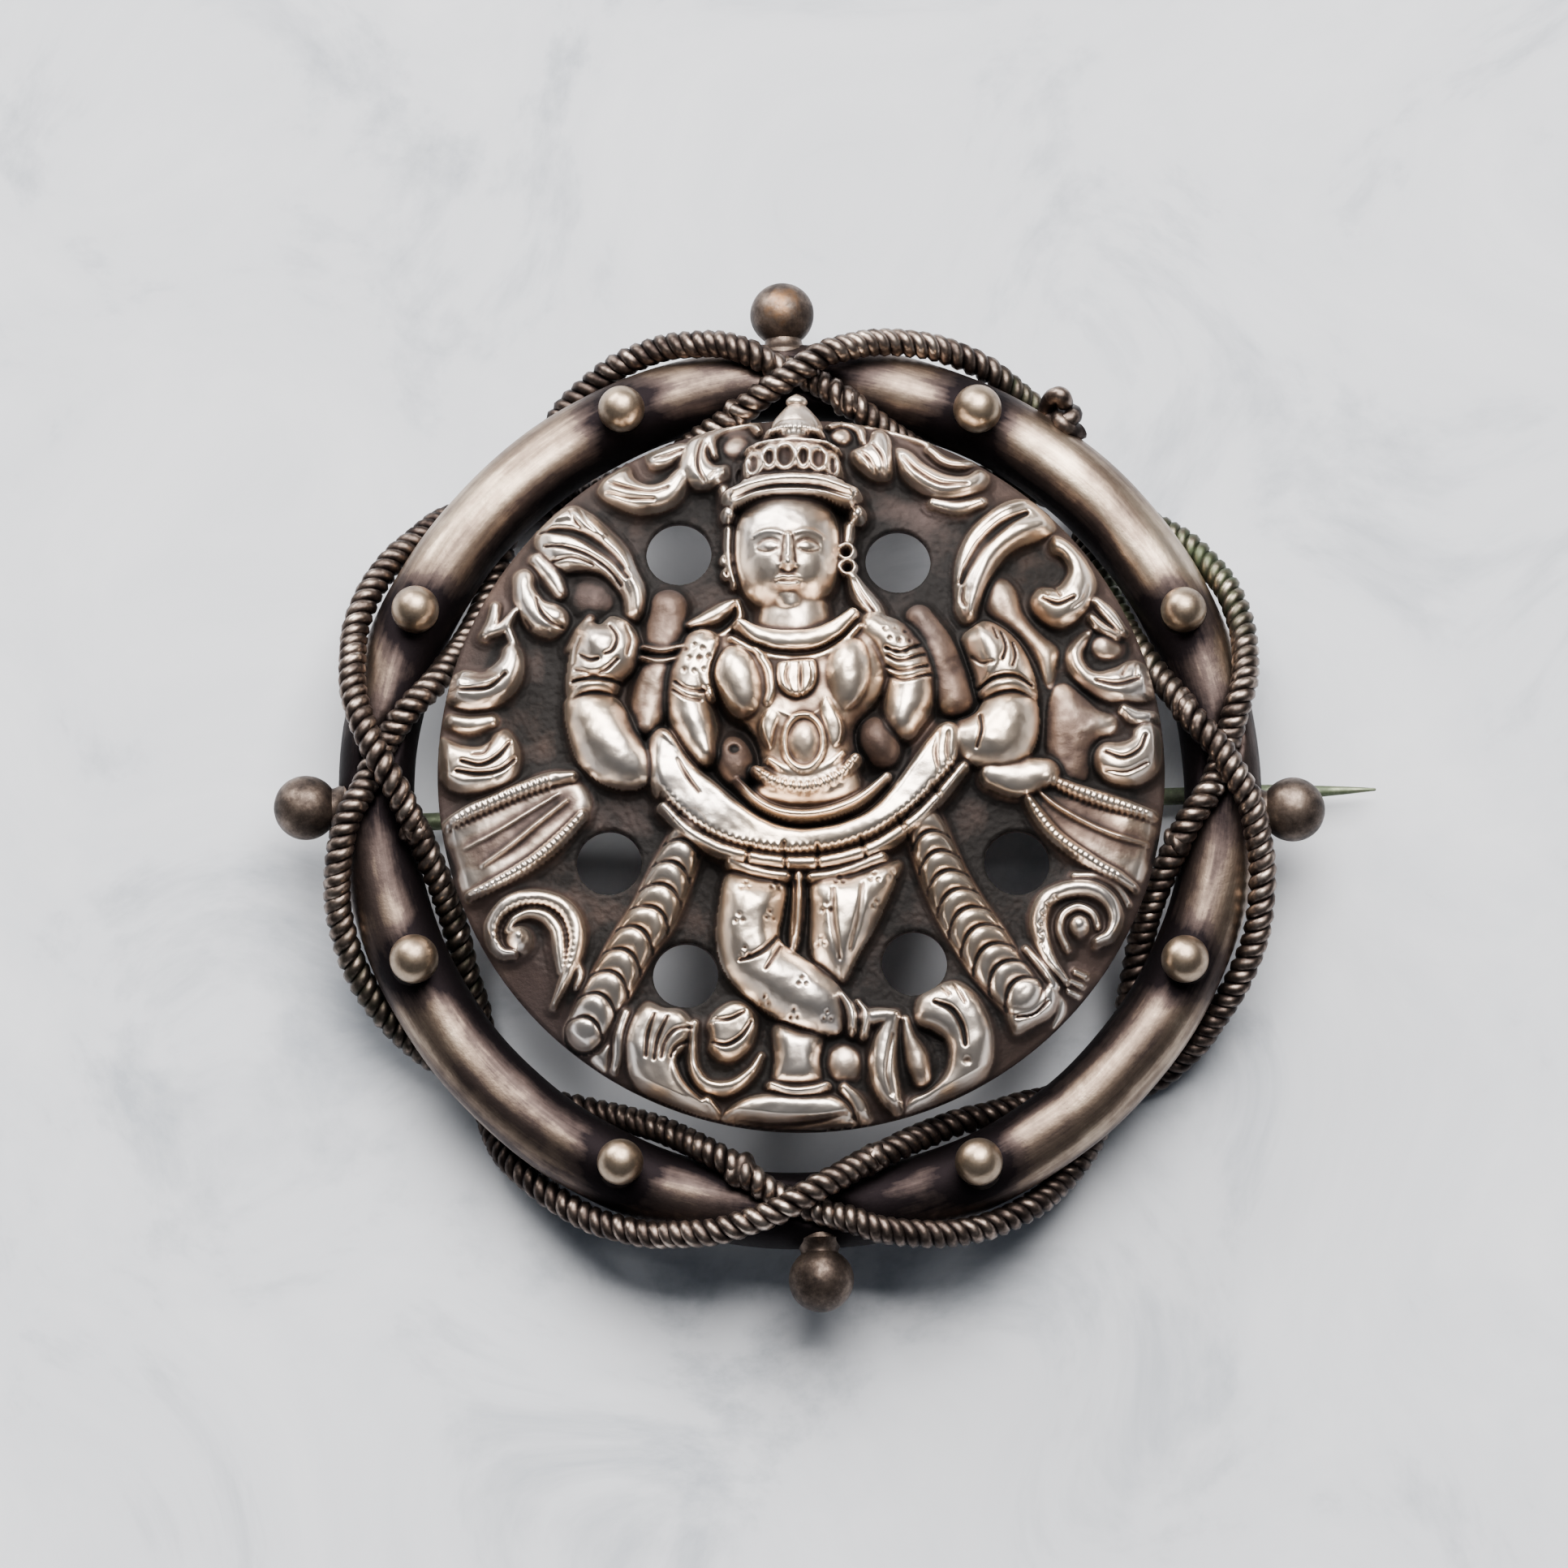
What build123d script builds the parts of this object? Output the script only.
from build123d import *
from build123d.topology import SkipClean
import os
from math import asin, cos, hypot, radians, sin, sqrt, tan

# A circular silver brooch that lies on its back: a ring of tube with two wire ropes wound
# round it, a domed relief disc carried by the ropes, and a hinged pin across the back.
# Millimetres. The origin is the middle of the ring on the surface that the brooch lies on,
# +Z points out of its front, +Y is the top of the figure and +X its picture right.

os.makedirs("parts", exist_ok=True)

# Ring tube, and the flats on its front where the ropes cross
ring_r = 19.55
tube_r = 1.8
saddle_dip = 0.9
saddle_r = 16.0

# Wire ropes: each winding advances evenly, and leans a little towards the figure's head
rope_r = 0.62
rope_turns = 4
rope_lean = 4.0
rope_corners_per_turn = 12
under_rope_crest = 30
over_rope_crest = 5
rope_end_gap = 0.3

# Balls soldered to the ring
bead_r = 1.12
bead_sink = 0.35
bead_spread = 24.9
knob_r = 1.5
knob_neck_r = 0.75
knob_neck_len = 0.15
knob_turns = (-1.7, 2.0, 1.5, 2.5)

# Relief disc: a domed sheet with six holes and raised work on its front. Where it comes nearest
# to the ring, its rim lies rim_inset inside the middle line of the tube, on top of the ropes.
rim_inset = 2.39
disc_x = 0.08
disc_y = 0.4
sheet_t = 0.6
rim_t = 0.7
rim_edge_h = 0.35
shoulder_w = 1.6
shoulder_h = 0.8
dome_rise = 1.3
hole_r = 1.5

# Pin, its hinge at the picture left and its catch at the picture right
pin_wire_r = 0.4
pin_tip_r = 0.07
pin_tip_len = 5.0
pin_reach = 46.3
pin_lean = 2.0
pin_hinge_y = -0.65
eye_r = 0.85
eye_t = 0.8
rivet_r = 0.34
rivet_head_r = 0.55
rivet_head_t = 0.2
ear_t = 0.65
ear_r = 0.9
hook_r = 0.8
hook_t = 0.42
hook_w = 2.2
hook_from = 60.0
hook_to = 268.0

# Clearances
rope_gap = 0.12
saddle_gap = 0.3
seat_gap = 0.3
rivet_gap = 0.05
eye_gap = 0.06
pin_floor_gap = 0.45
hook_slip = 0.1

# Heights that follow from those sizes
tube_z = tube_r + 4 * rope_r + 2 * rope_gap
tube_top_z = tube_z + tube_r
winding_r = tube_r + rope_r + rope_gap
pin_z = pin_floor_gap + eye_r
ropes_out_r = winding_r + rope_r
disc_r = ring_r - rim_inset - hypot(disc_x, disc_y)
rim_z = tube_z + sqrt(ropes_out_r**2 - rim_inset**2) + seat_gap
shoulder_r = disc_r - shoulder_w
shoulder_z = rim_z + rim_edge_h + shoulder_h
dome_r = (shoulder_r**2 + dome_rise**2) / (2 * dome_rise)
dome_middle_z = shoulder_z + dome_rise - dome_r
crossings = [turn + rope_lean * cos(radians(turn)) for turn in (0, 90, 180, 270)]


def ground_z(x, y):
    """Height of the domed sheet's front at a place given from the middle of the disc."""
    out = min(hypot(x, y), disc_r)
    if out <= shoulder_r:
        return dome_middle_z + sqrt(dome_r**2 - out**2)
    return shoulder_z - (out - shoulder_r) / shoulder_w * shoulder_h


# Ring frame: the tube with its balls, hinge ears and catch, all soldered into one piece
def around(angle, radius, height):
    """Place at an angle round the ring."""
    return Location(
        (radius * cos(radians(angle)), radius * sin(radians(angle)), height), (0, 0, angle)
    )


hinge_x = -sqrt(ring_r**2 - pin_hinge_y**2)
pin_plane = Plane(
    origin=(hinge_x, pin_hinge_y, pin_z),
    x_dir=(-sin(radians(pin_lean)), cos(radians(pin_lean)), 0),
    z_dir=(cos(radians(pin_lean)), sin(radians(pin_lean)), 0),
)
side_plane = Plane(origin=pin_plane.origin, x_dir=-pin_plane.z_dir, z_dir=pin_plane.x_dir)
catch_run = 2 * abs(hinge_x) * cos(radians(pin_lean))
hook_offset = hook_slip + pin_wire_r
hook_out_r = hook_r + hook_t
foot_top = tube_z - pin_z - tube_r * cos(asin(min(1, hook_w / (2 * tube_r))))
mouth = 3 * hook_out_r
hook_mouth = make_face(
    Polyline(
        (0, 0),
        (mouth * cos(radians(hook_from)), mouth * sin(radians(hook_from))),
        (mouth, 0),
        (mouth, -mouth),
        (mouth * cos(radians(hook_to)), mouth * sin(radians(hook_to))),
        close=True,
    )
)
ear_in = eye_t / 2 + eye_gap
ear_top = tube_z - pin_z - sqrt(tube_r**2 - ear_r**2) + ear_t

saddle = Cylinder(saddle_r, 4 * tube_r, rotation=(0, 90, 0))
saddle_z = tube_top_z - saddle_dip - saddle_gap + saddle_r
bead = Sphere(bead_r)
bead_z = tube_top_z + bead_r - bead_sink
bead_angles = [90 * i + side * bead_spread for i in range(4) for side in (-1, 1)]
knob = Sphere(knob_r)
knob_angles = [90 * i + turn for i, turn in enumerate(knob_turns)]
knob_place_r = ring_r + tube_r + knob_neck_len + sqrt(knob_r**2 - knob_neck_r**2)
neck_from = ring_r + tube_r / 2
neck = Cylinder(knob_neck_r, knob_place_r - neck_from, rotation=(0, 90, 0))

# The round surfaces are joined one at a time and left unmerged, which keeps every cut exact
with SkipClean(), BuildPart() as ring_frame:
    with Locations((0, 0, tube_z)):
        Torus(ring_r, tube_r)
    for angle in crossings:
        add(around(angle, ring_r, saddle_z) * saddle, clean=False, mode=Mode.SUBTRACT)
    for angle in bead_angles:
        add(around(angle, ring_r, bead_z) * bead, clean=False)
    for angle in knob_angles:
        add(around(angle, (neck_from + knob_place_r) / 2, tube_z) * neck, clean=False)
        add(around(angle, knob_place_r, tube_z) * knob, clean=False)

    for side in (-1, 1):
        with BuildSketch(side_plane.offset(side * (ear_in + ear_t / 2))):
            Circle(ear_r)
            with Locations((0, ear_top / 2)):
                Rectangle(2 * ear_r, ear_top)
            Circle(rivet_r + rivet_gap, mode=Mode.SUBTRACT)
        extrude(amount=ear_t / 2, both=True, clean=False)

    with BuildSketch(pin_plane.offset(catch_run - hook_w / 2)):
        with Locations((-hook_offset, 0)):
            Circle(hook_out_r)
            Circle(hook_r, mode=Mode.SUBTRACT)
            add(hook_mouth, mode=Mode.SUBTRACT)
        foot_from = (hook_r + hook_out_r) / 2
        with Locations((-hook_offset, (foot_from + foot_top + hook_t) / 2)):
            Rectangle(hook_r, foot_top + hook_t - foot_from)
    extrude(amount=hook_w, clean=False)
ring_frame.part.label = "ring_frame"
export_step(ring_frame.part, "parts/ring_frame.step")


# Wire ropes: each is a plain round tube of the twisted pair's outer size
def rope_route(hand, front_lift, back_lift, crest_power):
    """Corners of the winding of one rope: hand is +1 or -1, and the lifts say how far its middle
    stands off the plain winding where it crosses the other rope."""
    corners = rope_turns * rope_corners_per_turn
    half_step = 180 / rope_corners_per_turn
    route = []
    for i in range(corners):
        travel = -45 + (i + 0.5) * 360 / corners
        angle = radians(travel + rope_lean * cos(radians(travel)))
        slant = radians(90 + hand * rope_turns * travel)
        crest = min(1, abs(sin(slant)) / cos(radians(half_step))) ** crest_power
        lift = front_lift if sin(slant) > 0 else back_lift
        away = (winding_r + lift * crest) / cos(radians(half_step))
        out = ring_r + away * cos(slant)
        route.append(Vector(out * cos(angle), out * sin(angle), tube_z + away * sin(slant)))
    closing = (route[0] - route[-1]).normalized() * rope_end_gap / 2
    middle = (route[0] + route[-1]) / 2
    return [middle + closing, *route, middle - closing]


def corner_radii(route):
    """Fillet radius at each inner corner of a route, as large as its two runs allow."""
    radii = []
    for before, corner, after in zip(route, route[1:], route[2:]):
        shorter = min((corner - before).length, (after - corner).length)
        half_turn = (corner - before).get_angle(after - corner) / 2
        radii.append(0.45 * shorter / tan(radians(half_turn)))
    return radii


def rope(route):
    """One rope swept along its route."""
    with BuildPart() as swept:
        with BuildLine() as path:
            FilletPolyline(*route, radius=corner_radii(route))
        with BuildSketch(Plane(origin=path.line @ 0, z_dir=path.line % 0)):
            Circle(rope_r)
        sweep(path=path.line)
    return swept.part


rope_step = 2 * rope_r + rope_gap
under_route = rope_route(-1, -saddle_dip, 0, under_rope_crest)
over_route = rope_route(1, rope_step - saddle_dip, rope_step, over_rope_crest)

with BuildPart() as rope_under:
    add(rope(under_route))
rope_under.part.label = "rope_under"
export_step(rope_under.part, "parts/rope_under.step")

with BuildPart() as rope_over:
    add(rope(over_route))
rope_over.part.label = "rope_over"
export_step(rope_over.part, "parts/rope_over.step")


# Relief disc. Raised strokes run from one round end to another, and raised bows are arcs.
# Places and radii are shares of the disc's radius, seen from its middle. A rise says how far
# the middle of a form stands above the sheet, as a share of the form's own radius.
strokes = [
    # x1, y1, r1, x2, y2, r2, rise
    # the figure's head and crown
    (-0.043, 0.687, 0.139, -0.050, 0.568, 0.116, 0.30),
    (-0.029, 0.751, 0.148, -0.023, 0.945, 0.075, 0.35),
    (-0.023, 0.950, 0.060, -0.023, 0.990, 0.045, 0.70),
    # body, breastplates, pendants
    (-0.020, 0.349, 0.188, -0.005, 0.040, 0.130, -0.20),
    (-0.184, 0.270, 0.080, -0.155, 0.202, 0.076, 1.00),
    (0.132, 0.272, 0.076, 0.112, 0.204, 0.070, 1.00),
    (-0.020, 0.233, 0.063, -0.014, 0.194, 0.067, 1.75),
    (-0.003, 0.073, 0.058, 0.006, 0.034, 0.058, 1.60),
    # upper arms, cuffs and forearms, and the rods beside them
    (-0.267, 0.349, 0.067, -0.338, 0.120, 0.058, 0.50),
    (0.253, 0.349, 0.072, 0.342, 0.115, 0.063, 0.50),
    (-0.504, 0.376, 0.076, -0.564, 0.239, 0.085, 0.35),
    (-0.589, 0.131, 0.085, -0.468, -0.006, 0.072, 0.40),
    (0.490, 0.349, 0.076, 0.562, 0.239, 0.076, 0.35),
    (0.573, 0.131, 0.076, 0.548, 0.024, 0.063, 0.40),
    (-0.352, 0.417, 0.045, -0.392, 0.135, 0.036, 0.40),
    (0.347, 0.352, 0.045, 0.412, 0.162, 0.040, 0.40),
    # bent leg and its foot, straight leg, the sash end between them, and the base
    (-0.128, -0.304, 0.094, -0.123, -0.539, 0.090, 0.30),
    (-0.114, -0.558, 0.090, 0.096, -0.697, 0.054, 0.40),
    (0.136, -0.709, 0.049, 0.208, -0.729, 0.027, 0.50),
    (0.145, -0.314, 0.112, 0.096, -0.577, 0.040, 0.20),
    (-0.005, -0.277, 0.036, 0.006, -0.494, 0.027, 0.40),
    (-0.027, -0.666, 0.063, -0.020, -0.872, 0.067, 0.20),
    (-0.150, -0.925, 0.049, 0.080, -0.920, 0.054, 0.20),
    # banded sashes
    (-0.307, -0.223, 0.049, -0.594, -0.740, 0.058, 0.45),
    (0.365, -0.214, 0.054, 0.649, -0.676, 0.063, 0.45),
    # fans at the picture left and right
    (-0.632, -0.044, 0.034, -0.920, -0.155, 0.038, 0.50),
    (-0.609, -0.073, 0.031, -0.900, -0.249, 0.054, 0.20),
    (-0.603, -0.108, 0.030, -0.880, -0.322, 0.030, 0.50),
    (0.678, -0.030, 0.034, 0.930, -0.128, 0.030, 0.50),
    (0.656, -0.060, 0.031, 0.890, -0.217, 0.040, 0.20),
    (0.638, -0.098, 0.030, 0.880, -0.300, 0.043, 0.50),
    # leaves and curls along the rim, from the top round by the left
    (-0.318, 0.822, 0.036, -0.244, 0.921, 0.036, 0.40),
    (-0.744, 0.532, 0.036, -0.688, 0.417, 0.049, 0.40),
    (-0.791, 0.352, 0.034, -0.900, 0.222, 0.048, 0.40),
    (-0.920, 0.043, 0.060, -0.833, 0.016, 0.057, 0.30),
    (-0.643, -0.506, 0.034, -0.681, -0.643, 0.022, 0.40),
    (-0.446, -0.696, 0.040, -0.325, -0.710, 0.045, 0.30),
    (-0.289, -0.737, 0.024, -0.184, -0.856, 0.027, 0.30),
    (0.230, -0.708, 0.034, 0.241, -0.900, 0.036, 0.30),
    (0.667, -0.488, 0.030, 0.700, -0.609, 0.022, 0.40),
    (0.925, 0.126, 0.034, 0.905, 0.035, 0.043, 0.30),
    (0.756, 0.300, 0.030, 0.857, 0.231, 0.034, 0.40),
    (0.197, 0.886, 0.045, 0.325, 0.900, 0.040, 0.30),
    (0.136, 0.604, 0.030, 0.163, 0.449, 0.036, 0.50),
    (-0.202, 0.581, 0.027, -0.211, 0.421, 0.033, 0.50),
    (0.548, 0.423, 0.033, 0.678, 0.240, 0.020, 0.30),
    (0.712, 0.176, 0.049, 0.718, 0.043, 0.049, 0.00),
]
bows = [
    # x, y, radius, thickness, start angle, sweep, rise
    # collar, great sash and beaded belt
    (-0.023, 0.570, 0.184, 0.034, 200, 140, 2.60),
    (0.006, 0.186, 0.385, 0.056, 192, 158, 0.45),
    (0.006, 0.147, 0.224, 0.038, 215, 110, 2.00),
    # plumes beside the head
    (-0.632, 0.449, 0.190, 0.066, 0, 112, 0.40),
    (0.678, 0.461, 0.224, 0.066, 97, 85, 0.40),
    # volutes at the lower left and right
    (-0.755, -0.465, 0.103, 0.038, -25, 255, 0.40),
    (0.763, -0.442, 0.095, 0.038, -70, 260, 0.40),
    # garlands and curls near the rim
    (-0.446, 0.810, 0.081, 0.040, 190, 160, 0.40),
    (0.391, 0.845, 0.107, 0.042, 195, 150, 0.40),
    (0.723, 0.530, 0.072, 0.038, -150, 215, 0.40),
    (0.362, -0.752, 0.128, 0.048, -80, 195, 0.35),
]
knops = [
    # x, y, radius, rise
    (-0.775, -0.479, 0.048, 0.50),
    (0.763, -0.444, 0.045, 0.50),
    (0.344, -0.770, 0.045, 0.20),
]
holes = [
    # angle from the picture right, share of the disc's radius
    (119.1, 0.692),
    (65.4, 0.640),
    (206.7, 0.590),
    (-24.0, 0.648),
    (241.3, 0.660),
    (-60.4, 0.628),
]


def form_middle(x, y, above):
    """Middle of a raised form that stands so far above the disc's own dome."""
    return Vector(
        disc_x + x * disc_r, disc_y + y * disc_r, ground_z(x * disc_r, y * disc_r) + above
    )


def stroke(x1, y1, r1, x2, y2, r2, rise):
    """A raised form with two round ends, turned about the line between them."""
    start_r = r1 * disc_r
    end_r = r2 * disc_r
    above = rise * (start_r + end_r) / 2
    start = form_middle(x1, y1, above)
    end = form_middle(x2, y2, above)
    run = (end - start).length
    along = (end - start).normalized()
    slant = 1 / sqrt(2)
    with BuildPart() as form:
        with BuildSketch(Plane(origin=start, x_dir=along, z_dir=along.cross(Vector(0, 0, 1)))):
            with BuildLine():
                ThreePointArc((-start_r, 0), (-start_r * slant, start_r * slant), (0, start_r))
                Line((0, start_r), (run, end_r))
                ThreePointArc((run, end_r), (run + end_r * slant, end_r * slant), (run + end_r, 0))
                Line((run + end_r, 0), (-start_r, 0))
            make_face()
        revolve(axis=Axis(start, along))
    return form.part


def bow(x, y, radius, thickness, start, sweep, rise):
    """A raised round bow that lies level on the dome."""
    middle = form_middle(x, y, rise * thickness * disc_r)
    with BuildPart() as form:
        with Locations(Location(middle, (0, 0, start))):
            Torus(radius * disc_r, thickness * disc_r, major_angle=sweep)
    return form.part


raised = [stroke(*row) for row in strokes] + [bow(*row) for row in bows]
inner_r = dome_r - sheet_t

with BuildPart() as relief_disc:
    with BuildSketch(Plane.XZ.offset(-disc_y)):
        with BuildLine():
            Line((disc_x, rim_z), (disc_x + disc_r, rim_z))
            Line((disc_x + disc_r, rim_z), (disc_x + disc_r, rim_z + rim_edge_h))
            Line((disc_x + disc_r, rim_z + rim_edge_h), (disc_x + shoulder_r, shoulder_z))
            RadiusArc(
                (disc_x + shoulder_r, shoulder_z), (disc_x, shoulder_z + dome_rise), -dome_r
            )
            Line((disc_x, shoulder_z + dome_rise), (disc_x, rim_z))
        make_face()
    revolve(axis=Axis((disc_x, disc_y, 0), (0, 0, 1)))
    add(raised)
    for x, y, radius, rise in knops:
        with Locations(form_middle(x, y, rise * radius * disc_r)):
            Sphere(radius * disc_r)

    hollow_r = disc_r - rim_t
    hollow_top_r = shoulder_r - rim_t
    hollow_top_z = dome_middle_z + sqrt(inner_r**2 - hollow_top_r**2)
    with BuildSketch(Plane.XZ.offset(-disc_y)):
        with BuildLine():
            Polyline(
                (disc_x, rim_z - disc_r),
                (disc_x + 2 * disc_r, rim_z - disc_r),
                (disc_x + 2 * disc_r, rim_z),
                (disc_x + hollow_r, rim_z),
                (disc_x + hollow_top_r, hollow_top_z),
            )
            RadiusArc(
                (disc_x + hollow_top_r, hollow_top_z), (disc_x, dome_middle_z + inner_r), -inner_r
            )
            Line((disc_x, dome_middle_z + inner_r), (disc_x, rim_z - disc_r))
        make_face()
    revolve(axis=Axis((disc_x, disc_y, 0), (0, 0, 1)), mode=Mode.SUBTRACT)
    hole_places = [
        (disc_x + share * disc_r * cos(radians(a)), disc_y + share * disc_r * sin(radians(a)), rim_z)
        for a, share in holes
    ]
    with Locations(hole_places):
        Cylinder(hole_r, disc_r, mode=Mode.SUBTRACT)
relief_disc.part.label = "relief_disc"
export_step(relief_disc.part, "parts/relief_disc.step")


# Hinge rivet: headed at both ends, through the ears and the eye of the pin
rivet_half = ear_in + ear_t + rivet_gap
with BuildPart() as hinge_rivet:
    with BuildSketch(side_plane):
        Circle(rivet_r)
    extrude(amount=rivet_half + rivet_head_t, both=True)
    for side in (-1, 1):
        with BuildSketch(side_plane.offset(side * (rivet_half + rivet_head_t / 2))):
            Circle(rivet_head_r)
        extrude(amount=rivet_head_t / 2, both=True)
hinge_rivet.part.label = "hinge_rivet"
export_step(hinge_rivet.part, "parts/hinge_rivet.step")


# Pin: a wire with an eye at the hinge and a sharpened tip that reaches past the ring
with BuildPart() as pin:
    with BuildSketch(side_plane):
        Circle(eye_r)
    extrude(amount=eye_t / 2, both=True)
    with BuildSketch(pin_plane.offset(eye_r / 2)):
        Circle(pin_wire_r)
    extrude(amount=pin_reach - pin_tip_len - eye_r / 2)
    with BuildSketch(pin_plane.offset(pin_reach - pin_tip_len)):
        Circle(pin_wire_r)
    with BuildSketch(pin_plane.offset(pin_reach)):
        Circle(pin_tip_r)
    loft()
    with BuildSketch(side_plane):
        Circle(rivet_r + rivet_gap)
    extrude(amount=eye_t, both=True, mode=Mode.SUBTRACT)
pin.part.label = "pin"
export_step(pin.part, "parts/pin.step")
